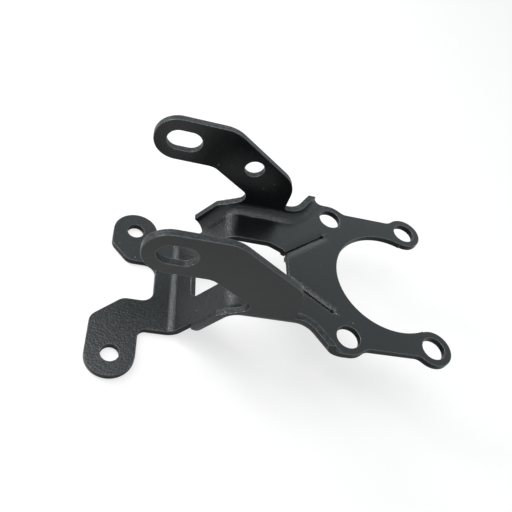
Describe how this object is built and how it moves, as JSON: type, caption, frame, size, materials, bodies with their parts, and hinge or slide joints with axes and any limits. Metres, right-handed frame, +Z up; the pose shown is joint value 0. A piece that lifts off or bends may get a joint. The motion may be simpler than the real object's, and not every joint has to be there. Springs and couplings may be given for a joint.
{
  "type": "headlight bracket",
  "caption": "Folded sheet-metal bracket with a round cut-out in its plate, two upright slotted arms and two lower ears, for hanging a headlight on a fork.",
  "frame": {"origin": "middle of the four fork holes, on the upper face of the flat front plate", "axes": "+X towards the open end of the round cut-out, +Y to the left across the plate, +Z up, the side on which the arms stand"},
  "size_m": [0.1598, 0.0929, 0.078],
  "materials": {
    "coat": "satin black powder coat over steel sheet, slightly textured"
  },
  "bodies": {
    "root": {"bracket": "coat"}
  },
  "joints": []
}
